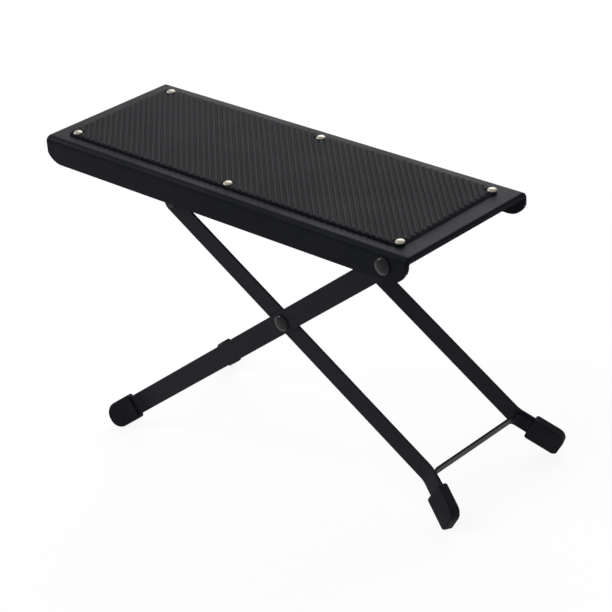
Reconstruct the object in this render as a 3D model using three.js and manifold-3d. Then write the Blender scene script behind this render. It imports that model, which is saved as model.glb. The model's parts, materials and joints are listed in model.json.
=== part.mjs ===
// A folding guitar footrest. A pressed steel plate with a ribbed rubber mat stands on two crossed
// pairs of flat steel legs. The hinged legs are riveted to the side flanges of the plate. The prop
// legs carry a cross rod at their top, which drops into one of four notches under the plate and so
// sets the height. Each pair is tied by a bent strap just above its rubber feet.
// Millimetres, +Z up. The feet stand on z = 0, +X runs along the plate towards its hinged end.
import * as THREE from 'three';
import { mergeVertices } from 'three/addons/utils/BufferGeometryUtils.js';
import Module from 'manifold-3d';

const wasm = await Module();
wasm.setup();

// Plate
const plateLength = 300;
const plateWidth = 107.5;
const plateSheet = 1.5;
const plateBendRadius = 3;
const plateCornerRadius = 4;
const flangeHeight = 17.25;
const flangeCornerRadius = 11;
const endLipHeight = 3.4;
const endLipFillet = 3;
const endLipTab = 0.8;

// Mat and its rivets
const matEndMargin = 10.5;
const matSideMargin = 8.25;
const matShift = 1.4;
const matThickness = 2.3;
const matCornerRadius = 5;
const ribPitch = 3.5;
const ribHeight = 0.7;
const ribCrestShare = 0.42;
const ribFootShare = 0.62;
const ribTurn = THREE.MathUtils.degToRad(-41);
const matRivetEndInset = 6.3;
const matRivetSideInset = 4.9;
const matRivetHeadRadius = 3.1;
const matRivetHeadHeight = 1.4;
const matRivetShankRadius = 1.5;
const matRivetTailRadius = 2.5;
const matRivetTailHeight = 0.9;

// Legs: flat bars, rounded at the top, whose feet end is bent outwards
const barWidth = 13.3;
const barThickness = 1.5;
const barBendRadius = 14;
const barNeckLength = 12;
const hingedEyeRadius = 5.4;
const footSplay = THREE.MathUtils.degToRad(20.5);
const legSpacing = 86.4;
const crossPivotHeight = 103.7;
const hingedLegAngle = THREE.MathUtils.degToRad(30.1);
const propLegAngle = THREE.MathUtils.degToRad(38.3);
const hingedLegUpper = 116.3;
const propLegUpper = 104.5;
const hingedBend = 168.4;
const propBend = 126.3;

// Ties between the two bars of a pair
const strapWidth = 10;
const strapThickness = 1.2;
const strapBendRadius = 4.5;
const strapDrop = 1.2;
const strapEndGap = 1.5;

// Rubber caps on the feet
const capLength = 22.2;
const capHeight = 17.4;
const capThickness = 6.4;
const capNoseRadius = 9.3;
const capCornerRadius = 1.6;
const capRound = 1.1;
const capInset = 15.5;
const capShift = 0.45;
const capDrop = 0.6;
const hingedCapDistance = 9.6;
const propCapDistance = 11.5;

// Cross rod of the prop legs and the notched racks that hold it
const rodRadius = 3;
const rodTenonRadius = 2;
const rodHeadRadius = 3.6;
const rodHeadHeight = 0.9;
const rodDepth = 24.1;
const rackSheet = 1.5;
const rackBendRadius = 2.5;
const rackWeldWidth = 12;
const rackSpacing = 46;
const rackNotches = 4;
const rackPitch = 9.2;
const notchDepth = 4.8;
const notchPlay = 0.45;
const notchLeadIn = 0.9;
const rackEndTooth = 2.6;
const rackEndChamfer = 1.2;

// Pivots
const platePivotDepth = 8.5;
const platePivotInset = 17.2;
const platePivotRadius = 3;
const platePivotHeadRadius = 6;
const platePivotHeadHeight = 2.8;
const platePivotTailRadius = 4.8;
const platePivotTailHeight = 1.5;
const platePivotWasherRadius = 5.3;
const platePivotWasherThickness = 1;
const spacerRadius = 6;
const crossPivotRadius = 2.5;
const crossPivotHeadRadius = 5.8;
const crossPivotHeadHeight = 2.4;
const crossPivotTailRadius = 4;
const crossPivotTailHeight = 1.4;

// Clearances, and the length by which a cutting solid runs past what it cuts
const gap = 0.3;
const rodClearance = 0.4;
const overrun = 5;

// Facets
const bendSteps = 4;
const roundSteps = 28;
const domeSteps = 4;
const capCornerSteps = 6;

// Finishes
const blackPowderCoat = { color: 0x1f2023, roughness: 0.5, metalness: 0.25 };
const blackRubber = { color: 0x26272a, roughness: 0.85, metalness: 0 };
const ribbedRubber = { color: 0x3a3b3d, roughness: 0.8, metalness: 0 };
const nickel = { color: 0xc8c3b4, roughness: 0.3, metalness: 1 };
const darkSteel = { color: 0x4a4c4e, roughness: 0.4, metalness: 0.8 };

// Closed three.js geometry as a solid that can be cut and joined
function solidFrom(geometry) {
  geometry.deleteAttribute('normal');
  geometry.deleteAttribute('uv');
  const merged = mergeVertices(geometry);
  const vertProperties = new Float32Array(merged.attributes.position.array);
  const triVerts = new Uint32Array(merged.index.array);
  return new wasm.Manifold(new wasm.Mesh({ numProp: 3, vertProperties, triVerts }));
}

function geometryFrom(solid) {
  const mesh = solid.getMesh();
  const geometry = new THREE.BufferGeometry();
  geometry.setAttribute('position', new THREE.Float32BufferAttribute(mesh.vertProperties, 3));
  geometry.setIndex(Array.from(mesh.triVerts));
  geometry.computeVertexNormals();
  return geometry;
}

// Prisms centred on the plane of their outline. An outline is drawn in X and Y for a prism along Z,
// in X and Z for one along Y, and in Y and Z for one along X.
function prismAlongZ(shape, depth) {
  const geometry = new THREE.ExtrudeGeometry(shape, { depth, bevelEnabled: false, curveSegments: bendSteps });
  return geometry.translate(0, 0, -depth / 2);
}

function prismAlongY(shape, depth) {
  return prismAlongZ(shape, depth).rotateX(Math.PI / 2);
}

function prismAlongX(shape, depth) {
  const turn = new THREE.Matrix4().makeBasis(
    new THREE.Vector3(0, 1, 0),
    new THREE.Vector3(0, 0, 1),
    new THREE.Vector3(1, 0, 0),
  );
  return prismAlongZ(shape, depth).applyMatrix4(turn);
}

// Rectangle between two corners, each corner rounded by its radius, from the lower left round
function roundedRectangle(left, bottom, right, top, radii) {
  const [lowerLeft, lowerRight, upperRight, upperLeft] = radii;
  const shape = new THREE.Shape();
  shape.moveTo(left + lowerLeft, bottom);
  shape.lineTo(right - lowerRight, bottom);
  if (lowerRight > 0) {
    shape.absarc(right - lowerRight, bottom + lowerRight, lowerRight, -Math.PI / 2, 0, false);
  }
  shape.lineTo(right, top - upperRight);
  if (upperRight > 0) {
    shape.absarc(right - upperRight, top - upperRight, upperRight, 0, Math.PI / 2, false);
  }
  shape.lineTo(left + upperLeft, top);
  if (upperLeft > 0) {
    shape.absarc(left + upperLeft, top - upperLeft, upperLeft, Math.PI / 2, Math.PI, false);
  }
  shape.lineTo(left, bottom + lowerLeft);
  if (lowerLeft > 0) {
    shape.absarc(left + lowerLeft, bottom + lowerLeft, lowerLeft, Math.PI, 1.5 * Math.PI, false);
  }
  return shape;
}

function evenRectangle(length, width, radius) {
  return roundedRectangle(-length / 2, -width / 2, length / 2, width / 2, [radius, radius, radius, radius]);
}

// Cutting cylinders
function pinHoleAlongY(x, z, radius, reach) {
  const hole = new THREE.CylinderGeometry(radius, radius, 2 * reach, roundSteps);
  return solidFrom(hole.translate(x, 0, z));
}

function pinHoleAlongZ(x, y, radius, reach) {
  const hole = new THREE.CylinderGeometry(radius, radius, 2 * reach, roundSteps);
  return solidFrom(hole.rotateX(Math.PI / 2).translate(x, y, 0));
}

// Rivet turned about Y, with its domed head towards +Y. Its shank runs from the flat end of the
// tail at y = tailEnd to the head, whose flat side is at y = headBase.
function rivetGeometry(sizes) {
  const { shankRadius, headRadius, headHeight, headBase, tailRadius, tailHeight, tailBase } = sizes;
  const tailEnd = tailBase - tailHeight;
  const profile = [
    new THREE.Vector2(0, tailEnd),
    new THREE.Vector2(tailRadius, tailEnd),
    new THREE.Vector2(tailRadius, tailBase),
    new THREE.Vector2(shankRadius, tailBase),
    new THREE.Vector2(shankRadius, headBase),
  ];
  for (let step = 0; step < domeSteps; step += 1) {
    const lift = (step / domeSteps) * (Math.PI / 2);
    profile.push(new THREE.Vector2(headRadius * Math.cos(lift), headBase + headHeight * Math.sin(lift)));
  }
  profile.push(new THREE.Vector2(0, headBase + headHeight));
  return new THREE.LatheGeometry(profile, roundSteps);
}

// Ring turned about Y, between two planes
function ringGeometry(innerRadius, outerRadius, from, to) {
  const profile = [
    new THREE.Vector2(innerRadius, from),
    new THREE.Vector2(outerRadius, from),
    new THREE.Vector2(outerRadius, to),
    new THREE.Vector2(innerRadius, to),
    new THREE.Vector2(innerRadius, from),
  ];
  return new THREE.LatheGeometry(profile, roundSteps);
}

// Middle line of a bent strip: straight runs between corners, each corner rounded by the radius.
// Every point keeps the direction of the strip there.
function bentLine(corners, radius) {
  const direction = (from, to) => corners[to].clone().sub(corners[from]).normalize();
  const last = corners.length - 1;
  const points = [{ at: corners[0], along: direction(0, 1) }];
  for (let index = 1; index < last; index += 1) {
    const before = direction(index - 1, index);
    const turn = before.clone().cross(direction(index, index + 1));
    const angle = Math.asin(THREE.MathUtils.clamp(turn, -1, 1));
    const bent = before.dot(direction(index, index + 1)) < 0 ? Math.sign(angle) * Math.PI - angle : angle;
    const setback = radius * Math.tan(Math.abs(bent) / 2);
    const start = corners[index].clone().addScaledVector(before, -setback);
    const side = new THREE.Vector2(-before.y, before.x).multiplyScalar(Math.sign(bent) * radius);
    const centre = start.clone().add(side);
    for (let step = 0; step <= bendSteps; step += 1) {
      const swing = (bent * step) / bendSteps;
      const at = start.clone().rotateAround(centre, swing);
      const along = before.clone().rotateAround(new THREE.Vector2(), swing);
      points.push({ at, along });
    }
  }
  points.push({ at: corners[last], along: direction(last - 1, last) });
  return points;
}

// Outline of a strip seen on its edge
function stripOutline(corners, thickness, radius) {
  const line = bentLine(corners, radius);
  const offset = (point, side) => new THREE.Vector2(-point.along.y, point.along.x)
    .multiplyScalar((side * thickness) / 2)
    .add(point.at);
  const leftSide = line.map((point) => offset(point, 1));
  const rightSide = line.map((point) => offset(point, -1)).reverse();
  return new THREE.Shape([...leftSide, ...rightSide]);
}

// Stacking of the pivots across the width, as distances from the middle plane
const flangeInner = plateWidth / 2 - plateSheet;
const hingedBarOuter = legSpacing / 2;
const hingedBarInner = hingedBarOuter - barThickness;
const propBarOuter = hingedBarInner - gap;
const propBarInner = propBarOuter - barThickness;

// Pivot places in the plane of the legs
const crossPivot = new THREE.Vector2(0, crossPivotHeight);
const platePivot = new THREE.Vector2(Math.cos(hingedLegAngle), Math.sin(hingedLegAngle))
  .multiplyScalar(hingedLegUpper)
  .add(crossPivot);
const rodPlace = new THREE.Vector2(-Math.cos(propLegAngle), Math.sin(propLegAngle))
  .multiplyScalar(propLegUpper)
  .add(crossPivot);

// The plate hangs on the plate pivot and lies over the rod, which sets its slope. The slope is the
// angle by which its hinged end is lower.
const rodToPivot = platePivot.clone().sub(rodPlace);
const plateSlope = Math.asin((rodDepth - platePivotDepth) / rodToPivot.length()) - rodToPivot.angle();
const slopeTurn = THREE.MathUtils.euclideanModulo(plateSlope + Math.PI, 2 * Math.PI) - Math.PI;
const platePivotX = plateLength / 2 - platePivotInset;
const rodX = platePivotX - Math.sqrt(rodToPivot.lengthSq() - (rodDepth - platePivotDepth) ** 2);

const matLength = plateLength - 2 * matEndMargin;
const matWidth = plateWidth - 2 * matSideMargin;

// Pressed plate. Its top face is z = 0, centred on the origin.
function plateGeometry() {
  const core = evenRectangle(
    plateLength - 2 * plateBendRadius,
    plateWidth - 2 * plateBendRadius,
    plateCornerRadius - plateBendRadius,
  );
  const block = (round, top) => {
    const depth = flangeHeight + overrun;
    const settings = { depth, bevelSize: round, bevelThickness: round, bevelSegments: bendSteps };
    const geometry = new THREE.ExtrudeGeometry(core, { ...settings, curveSegments: bendSteps });
    return solidFrom(geometry.translate(0, 0, top - round - depth));
  };
  const shell = block(plateBendRadius, 0).subtract(block(plateBendRadius - plateSheet, -plateSheet));

  // Cut to height, with the lower corners of both flanges rounded
  const flangeSide = roundedRectangle(
    -plateLength / 2,
    -flangeHeight,
    plateLength / 2,
    overrun,
    [flangeCornerRadius, flangeCornerRadius, 0, 0],
  );
  let solid = shell.intersect(solidFrom(prismAlongY(flangeSide, plateWidth + 2 * overrun)));

  // Open both ends below the short lips
  const mouthHalf = flangeInner - endLipTab;
  const mouth = roundedRectangle(
    -mouthHalf,
    -flangeHeight - overrun,
    mouthHalf,
    -endLipHeight,
    [0, 0, endLipFillet, endLipFillet],
  );
  solid = solid.subtract(solidFrom(prismAlongX(mouth, plateLength + 2 * overrun)));

  // Rivet holes
  solid = solid.subtract(pinHoleAlongY(platePivotX, -platePivotDepth, platePivotRadius + gap, plateWidth));
  for (const [x, y] of matRivetPlaces) {
    solid = solid.subtract(pinHoleAlongZ(x, y, matRivetShankRadius + gap, flangeHeight));
  }
  return geometryFrom(solid);
}

const matRivetPlaces = [];
for (const row of [-1, 1]) {
  for (const column of [-1, 0, 1]) {
    const x = matShift + column * (matLength / 2 - matRivetEndInset);
    matRivetPlaces.push([x, row * (matWidth / 2 - matRivetSideInset)]);
  }
}

// Rubber mat with ribs that run askew over its whole top
function matGeometry() {
  const outline = evenRectangle(matLength, matWidth, matCornerRadius);
  const slab = prismAlongZ(outline, matThickness).translate(matShift, 0, gap + matThickness / 2);
  const reach = Math.hypot(matLength, matWidth) / 2;
  const ribs = 2 * Math.ceil(reach / ribPitch);
  const bottom = -overrun;
  const grooveFloor = gap + matThickness - ribHeight;
  const crest = gap + matThickness + ribHeight;
  const comb = new THREE.Shape();
  comb.moveTo((-ribs / 2) * ribPitch, bottom);
  comb.lineTo((ribs / 2) * ribPitch, bottom);
  for (let rib = ribs / 2 - 1; rib >= -ribs / 2; rib -= 1) {
    const middle = (rib + 0.5) * ribPitch;
    // Each flank is carried on above the slab, so that the crest is cut flat by the slab's top
    const flank = (ribFootShare - ribCrestShare) * ribPitch;
    comb.lineTo(middle + (ribFootShare * ribPitch) / 2, grooveFloor);
    comb.lineTo(middle + (ribFootShare * ribPitch) / 2 - flank, crest);
    comb.lineTo(middle - (ribFootShare * ribPitch) / 2 + flank, crest);
    comb.lineTo(middle - (ribFootShare * ribPitch) / 2, grooveFloor);
  }
  comb.lineTo((-ribs / 2) * ribPitch, grooveFloor);
  const ribbed = prismAlongX(comb, 2 * reach).rotateZ(ribTurn).translate(matShift, 0, 0);
  let solid = solidFrom(slab).intersect(solidFrom(ribbed));
  for (const [x, y] of matRivetPlaces) {
    solid = solid.subtract(pinHoleAlongZ(x, y, matRivetShankRadius + gap, flangeHeight));
  }
  return geometryFrom(solid);
}

function matRivetGeometry() {
  const rivet = rivetGeometry({
    shankRadius: matRivetShankRadius,
    headRadius: matRivetHeadRadius,
    headHeight: matRivetHeadHeight,
    headBase: matThickness + 2 * gap,
    tailRadius: matRivetTailRadius,
    tailHeight: matRivetTailHeight,
    tailBase: -plateSheet - gap,
  });
  return rivet.rotateX(Math.PI / 2);
}

// Notched rack: an L of sheet steel, welded under the plate by its upper leg. Each notch is steep on
// the side that holds the rod back and has a lead-in on the other.
const rackTop = -plateSheet - gap;
const toothTip = -rodDepth + rodRadius + rodClearance;
const notchHalf = rodRadius + notchPlay;
const notchRoof = toothTip + notchDepth;

// The rod moves sideways a little while the plate sinks over it
const seatShift = (notchDepth * (rodDepth - platePivotDepth)) / (platePivotX - rodX);

function rackGeometry(side) {
  const wallOuter = rackSpacing / 2;
  const wallInner = wallOuter - rackSheet;
  const weldInner = wallOuter - rackWeldWidth;
  const section = stripOutline(
    [
      new THREE.Vector2(side * weldInner, rackTop - rackSheet / 2),
      new THREE.Vector2((side * (wallOuter + wallInner)) / 2, rackTop - rackSheet / 2),
      new THREE.Vector2((side * (wallOuter + wallInner)) / 2, toothTip),
    ],
    rackSheet,
    rackBendRadius - rackSheet / 2,
  );
  const first = rodX - seatShift / 2;
  const last = first - (rackNotches - 1) * rackPitch;
  const right = first + notchHalf + notchLeadIn + rackEndTooth;
  const left = last - notchHalf - rackEndTooth;
  const strip = prismAlongX(section, right - left).translate((right + left) / 2, 0, 0);

  const corners = new THREE.Shape();
  corners.moveTo(left, rackTop + overrun);
  corners.lineTo(left, toothTip + rackEndChamfer);
  corners.lineTo(left + rackEndChamfer, toothTip);
  corners.lineTo(right - rackEndChamfer, toothTip);
  corners.lineTo(right, toothTip + rackEndChamfer);
  corners.lineTo(right, rackTop + overrun);
  let solid = solidFrom(strip).intersect(solidFrom(prismAlongY(corners, rackSpacing + 2 * overrun)));

  for (let notch = 0; notch < rackNotches; notch += 1) {
    const middle = first - notch * rackPitch;
    const shape = new THREE.Shape();
    shape.moveTo(middle - notchHalf, toothTip - overrun);
    shape.lineTo(middle + notchHalf + notchLeadIn, toothTip - overrun);
    shape.lineTo(middle + notchHalf + notchLeadIn, toothTip);
    shape.lineTo(middle + notchHalf, notchRoof - notchHalf / 2);
    shape.lineTo(middle + notchHalf / 2, notchRoof);
    shape.lineTo(middle - notchHalf / 2, notchRoof);
    shape.lineTo(middle - notchHalf, notchRoof - notchHalf / 2);
    solid = solid.subtract(solidFrom(prismAlongY(shape, rackSpacing + 2 * overrun)));
  }
  return geometryFrom(solid);
}

// A pair of legs. Its own X runs down the leg from the cross pivot for the prop legs and up the leg
// for the hinged legs, so that its own Z points up from the bar in both.
function makePair({ down, upper, bend, capDistance, barOuter, angle, eyeRadius, topHoleRadius }) {
  const barMiddle = barOuter - barThickness / 2;
  const floorTurn = down > 0 ? angle : -angle;
  const placement = new THREE.Matrix4().makeRotationY(floorTurn).setPosition(crossPivot.x, 0, crossPivot.y);
  const floorCut = solidFrom(
    new THREE.BoxGeometry(2 * plateLength, plateLength, plateLength)
      .translate(0, 0, -plateLength / 2)
      .applyMatrix4(placement.clone().invert()),
  );

  // Place at a distance past the bend along the splayed end, moved inwards from its middle line
  const slant = (distance, inward) => new THREE.Vector2(
    bend + distance * Math.cos(footSplay) + inward * Math.sin(footSplay),
    barMiddle + distance * Math.sin(footSplay) - inward * Math.cos(footSplay),
  );
  const barEnd = capDistance + capInset;
  const mirror = (point, side) => new THREE.Vector2(down * point.x, side * point.y);

  const barGeometry = (side) => {
    const corners = [new THREE.Vector2(-upper - barWidth, barMiddle), new THREE.Vector2(bend, barMiddle)];
    corners.push(slant(barEnd, 0));
    const edge = stripOutline(corners.map((point) => mirror(point, side)), barThickness, barBendRadius);
    const strip = solidFrom(prismAlongZ(edge, barWidth));
    const eyeX = -down * upper;
    const neckX = down * (barNeckLength - upper);
    const endX = down * (bend + barEnd + overrun);
    const face = new THREE.Shape();
    face.moveTo(eyeX, -eyeRadius);
    face.lineTo(neckX, -barWidth / 2);
    face.lineTo(endX, -barWidth / 2);
    face.lineTo(endX, barWidth / 2);
    face.lineTo(neckX, barWidth / 2);
    face.lineTo(eyeX, eyeRadius);
    const shaft = solidFrom(prismAlongY(face, plateLength));
    const eye = pinHoleAlongY(eyeX, 0, eyeRadius, legSpacing);
    return geometryFrom(
      strip
        .intersect(shaft.add(eye))
        .subtract(pinHoleAlongY(eyeX, 0, topHoleRadius, legSpacing))
        .subtract(pinHoleAlongY(0, 0, crossPivotRadius + gap, legSpacing)),
    );
  };

  // The strap crosses just past the bend and follows the inner faces of both bars into the caps
  const strapGeometry = () => {
    const inward = (barThickness + strapThickness) / 2 + gap;
    const strapEnd = barEnd - strapEndGap;
    const crossing = bend + strapDrop;
    const knee = slant((crossing - bend - inward * Math.sin(footSplay)) / Math.cos(footSplay), inward);
    const corners = [
      mirror(slant(strapEnd, inward), -1),
      mirror(knee, -1),
      mirror(knee, 1),
      mirror(slant(strapEnd, inward), 1),
    ];
    return prismAlongZ(stripOutline(corners, strapThickness, strapBendRadius), strapWidth);
  };

  // Rubber cap: a rounded boot with a slot for bar and strap and a flat sole
  const capGeometry = (side) => {
    const rim = slant(capDistance, 0);
    const place = new THREE.Matrix4()
      .makeRotationZ(down * side * footSplay)
      .setPosition(down * rim.x, side * rim.y, 0);
    const placed = (geometry) => solidFrom(geometry.applyMatrix4(place));

    // Outline seen from the side, with the large nose radius at its upper outer corner
    const half = capHeight / 2 - capRound;
    const ends = [down * capRound, down * (capLength - capRound)].sort((a, b) => a - b);
    const corner = capCornerRadius - capRound;
    const nose = capNoseRadius - capRound;
    const radii = down > 0 ? [corner, corner, nose, corner] : [corner, corner, corner, nose];
    const shape = roundedRectangle(ends[0], -half, ends[1], half, radii);
    const depth = capThickness - 2 * capRound;
    const settings = { depth, bevelSize: capRound, bevelThickness: capRound, bevelSegments: bendSteps / 2 };
    const boot = new THREE.ExtrudeGeometry(shape, { ...settings, curveSegments: capCornerSteps });
    boot.translate(0, 0, -depth / 2).rotateX(Math.PI / 2).translate(0, -side * capShift, -capDrop);

    // Slot for the bar and, inside it, the end of the strap
    const slotLength = capInset + gap + overrun;
    const slotWidth = barThickness + strapThickness + 3 * gap;
    const slot = new THREE.BoxGeometry(slotLength, slotWidth, barWidth + 2 * gap);
    slot.translate(down * (slotLength / 2 - overrun), -side * (strapThickness + gap) / 2, 0);
    return geometryFrom(placed(boot).subtract(placed(slot)).subtract(floorCut));
  };

  return { placement, barGeometry, strapGeometry, capGeometry };
}

// Cross rod of the prop legs, with a riveted tenon at each end
function rodGeometry() {
  const shoulder = propBarInner - gap;
  const headBase = propBarOuter + gap;
  const profile = [
    new THREE.Vector2(0, -headBase - rodHeadHeight),
    new THREE.Vector2(rodHeadRadius, -headBase - rodHeadHeight),
    new THREE.Vector2(rodHeadRadius, -headBase),
    new THREE.Vector2(rodTenonRadius, -headBase),
    new THREE.Vector2(rodTenonRadius, -shoulder),
    new THREE.Vector2(rodRadius, -shoulder),
    new THREE.Vector2(rodRadius, shoulder),
    new THREE.Vector2(rodTenonRadius, shoulder),
    new THREE.Vector2(rodTenonRadius, headBase),
    new THREE.Vector2(rodHeadRadius, headBase),
    new THREE.Vector2(rodHeadRadius, headBase + rodHeadHeight),
    new THREE.Vector2(0, headBase + rodHeadHeight),
  ];
  return new THREE.LatheGeometry(profile, roundSteps);
}

const footrest = new THREE.Group();

function addPiece(parent, name, geometry, finish) {
  const piece = new THREE.Mesh(geometry, new THREE.MeshStandardMaterial(finish));
  piece.name = name;
  parent.add(piece);
  return piece;
}

// The side of the footrest towards -Y is the near one
const sides = [
  { side: -1, label: 'near' },
  { side: 1, label: 'far' },
];

// A turned piece made for the far side, put on either side of a pivot
function addPivotPiece(name, geometry, side, pivot, finish) {
  const piece = addPiece(footrest, name, geometry, finish);
  piece.position.set(pivot.x, 0, pivot.y);
  piece.rotation.x = side > 0 ? 0 : Math.PI;
}

// Plate with its mat, rivets and racks
const plateGroup = new THREE.Group();
plateGroup.rotation.y = slopeTurn;
plateGroup.position.set(platePivot.x, 0, platePivot.y);
footrest.add(plateGroup);
const plateTop = new THREE.Group();
plateTop.position.set(-platePivotX, 0, platePivotDepth);
plateGroup.add(plateTop);

addPiece(plateTop, 'foot_plate', plateGeometry(), blackPowderCoat);
addPiece(plateTop, 'rubber_mat', matGeometry(), ribbedRubber);
matRivetPlaces.forEach(([x, y], index) => {
  const rivet = addPiece(plateTop, `mat_rivet_${index + 1}`, matRivetGeometry(), nickel);
  rivet.position.set(x, y, 0);
});
for (const { side, label } of sides) {
  addPiece(plateTop, `rack_${label}`, rackGeometry(side), blackPowderCoat);
}

// Both pairs of legs
const pairs = [
  {
    name: 'prop',
    pair: makePair({
      down: 1,
      upper: propLegUpper,
      bend: propBend,
      capDistance: propCapDistance,
      barOuter: propBarOuter,
      angle: propLegAngle,
      eyeRadius: barWidth / 2,
      topHoleRadius: rodTenonRadius + gap,
    }),
  },
  {
    name: 'hinged',
    pair: makePair({
      down: -1,
      upper: hingedLegUpper,
      bend: hingedBend,
      capDistance: hingedCapDistance,
      barOuter: hingedBarOuter,
      angle: hingedLegAngle,
      eyeRadius: hingedEyeRadius,
      topHoleRadius: platePivotRadius + gap,
    }),
  },
];
for (const { name, pair } of pairs) {
  const group = new THREE.Group();
  group.applyMatrix4(pair.placement);
  footrest.add(group);
  for (const { side, label } of sides) {
    addPiece(group, `${name}_leg_${label}`, pair.barGeometry(side), blackPowderCoat);
    addPiece(group, `${name}_foot_${label}`, pair.capGeometry(side), blackRubber);
  }
  addPiece(group, `${name}_strap`, pair.strapGeometry(), darkSteel);
}

const rod = addPiece(footrest, 'height_rod', rodGeometry(), darkSteel);
rod.position.set(rodPlace.x, 0, rodPlace.y);

// Pivot rivets, with a spacer and a washer on those at the plate
for (const { side, label } of sides) {
  const platePin = rivetGeometry({
    shankRadius: platePivotRadius,
    headRadius: platePivotHeadRadius,
    headHeight: platePivotHeadHeight,
    headBase: plateWidth / 2 + gap,
    tailRadius: platePivotTailRadius,
    tailHeight: platePivotTailHeight,
    tailBase: hingedBarInner - platePivotWasherThickness - 2 * gap,
  });
  addPivotPiece(`plate_pivot_rivet_${label}`, platePin, side, platePivot, blackPowderCoat);

  const spacer = ringGeometry(platePivotRadius + gap, spacerRadius, hingedBarOuter + gap, flangeInner - gap);
  addPivotPiece(`plate_pivot_spacer_${label}`, spacer, side, platePivot, darkSteel);

  const washerOuter = hingedBarInner - gap;
  const washerInner = washerOuter - platePivotWasherThickness;
  const washer = ringGeometry(platePivotRadius + gap, platePivotWasherRadius, washerInner, washerOuter);
  addPivotPiece(`plate_pivot_washer_${label}`, washer, side, platePivot, darkSteel);

  const crossPin = rivetGeometry({
    shankRadius: crossPivotRadius,
    headRadius: crossPivotHeadRadius,
    headHeight: crossPivotHeadHeight,
    headBase: hingedBarOuter + gap,
    tailRadius: crossPivotTailRadius,
    tailHeight: crossPivotTailHeight,
    tailBase: propBarInner - gap,
  });
  addPivotPiece(`cross_pivot_rivet_${label}`, crossPin, side, crossPivot, blackPowderCoat);
}

// Stand the footrest over the middle of its own outline
footrest.updateMatrixWorld(true);
const outline = new THREE.Box3().setFromObject(footrest, true);
footrest.position.x = -(outline.min.x + outline.max.x) / 2;

export default footrest;
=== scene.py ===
# A folding guitar footrest, dressed over its CAD model: a pressed plate with a ribbed rubber mat on
# two crossed pairs of flat steel legs, with rubber caps on the feet. Metres, +Z up, feet on z = 0.
import json
import math

import bmesh
import bpy
from mathutils import Matrix, Vector


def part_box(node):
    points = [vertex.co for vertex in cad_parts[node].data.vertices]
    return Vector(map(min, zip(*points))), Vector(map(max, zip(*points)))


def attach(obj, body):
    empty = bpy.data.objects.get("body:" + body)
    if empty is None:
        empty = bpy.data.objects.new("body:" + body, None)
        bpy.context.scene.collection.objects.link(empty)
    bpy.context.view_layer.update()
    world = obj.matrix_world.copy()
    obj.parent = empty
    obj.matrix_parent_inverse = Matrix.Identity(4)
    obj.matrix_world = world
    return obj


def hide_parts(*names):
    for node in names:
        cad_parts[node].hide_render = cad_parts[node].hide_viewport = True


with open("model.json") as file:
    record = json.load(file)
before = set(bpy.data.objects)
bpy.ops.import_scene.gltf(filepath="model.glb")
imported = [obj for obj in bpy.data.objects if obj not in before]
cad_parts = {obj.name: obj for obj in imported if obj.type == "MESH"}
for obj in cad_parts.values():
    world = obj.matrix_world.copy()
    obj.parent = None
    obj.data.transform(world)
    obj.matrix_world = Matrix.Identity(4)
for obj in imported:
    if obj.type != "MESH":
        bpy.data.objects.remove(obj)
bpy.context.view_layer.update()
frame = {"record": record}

MM = 0.001

# Camera, fitted to the photograph
CAMERA_AT = Vector((0.8383, -0.7757, 0.5764))
CAMERA_AZIMUTH = math.radians(47.093)
CAMERA_ELEVATION = math.radians(23.025)
CAMERA_ROLL = math.radians(-9.558)
CAMERA_SENSOR = 36
CAMERA_LENS = 117.83

# Plate
PLATE_LENGTH = 300 * MM
PLATE_WIDTH = 107.5 * MM
PLATE_SHEET = 1.5 * MM
SIDE_BEND = 4 * MM
END_BEND = 1.6 * MM
FLANGE_HEIGHT = 17.25 * MM
FLANGE_CORNER = 13.8 * MM
HIGH_END_TRIM = 1 * MM
LIP_HEIGHT = 3.6 * MM
LIP_FILLET = 1 * MM
LIP_TAB = 0.8 * MM

# Mat and its rivets
MAT_END_MARGIN = 10.5 * MM
MAT_SIDE_MARGIN = 8.25 * MM
MAT_SHIFT = 1.4 * MM
MAT_LOW_END_TRIM = 3.9 * MM
MAT_LOW_END_SLOPE = 1.8 * MM
MAT_SIDE_TRIM = 1.8 * MM
MAT_SIDE_SLOPE = 0.5 * MM
MAT_THICKNESS = 1.7 * MM
MAT_CORNER = 3 * MM
RIB_PITCH = 3.43 * MM
RIB_HEIGHT = 0.7 * MM
RIB_CREST_SHARE = 0.42
RIB_FOOT_SHARE = 0.62
RIB_TURN = math.radians(-44)
RIB_ROUND = 0.18 * MM
MAT_RIVET_END_INSET = 6.3 * MM
MAT_RIVET_SIDE_INSET = 4.9 * MM
MAT_RIVET_HEAD = 2.95 * MM
MAT_RIVET_HEIGHT = 1.3 * MM
MAT_RIVET_SHANK = 1.5 * MM
MAT_RIVET_TAIL = 2.5 * MM
MAT_RIVET_TAIL_HEIGHT = 0.9 * MM
MAT_DIMPLE = 4.1 * MM

# Legs and their straps
BAR_WIDTH = 13.3 * MM
BAR_THICKNESS = 1.5 * MM
BAR_BEND = 14 * MM
BAR_NECK = 12 * MM
HINGED_EYE = 5.4 * MM
EYE_SHARE = 0.995
SPLAY = math.radians(20.5)
LEG_SPACING = 86.4 * MM
HINGED_BEND_AT = 168.4 * MM
PROP_BEND_AT = 126.3 * MM
STRAP_WIDTH = 10 * MM
STRAP_THICKNESS = 1.2 * MM
STRAP_BEND = 4.5 * MM
STRAP_DROP = 1.2 * MM
STRAP_END_GAP = 1.5 * MM

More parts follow.
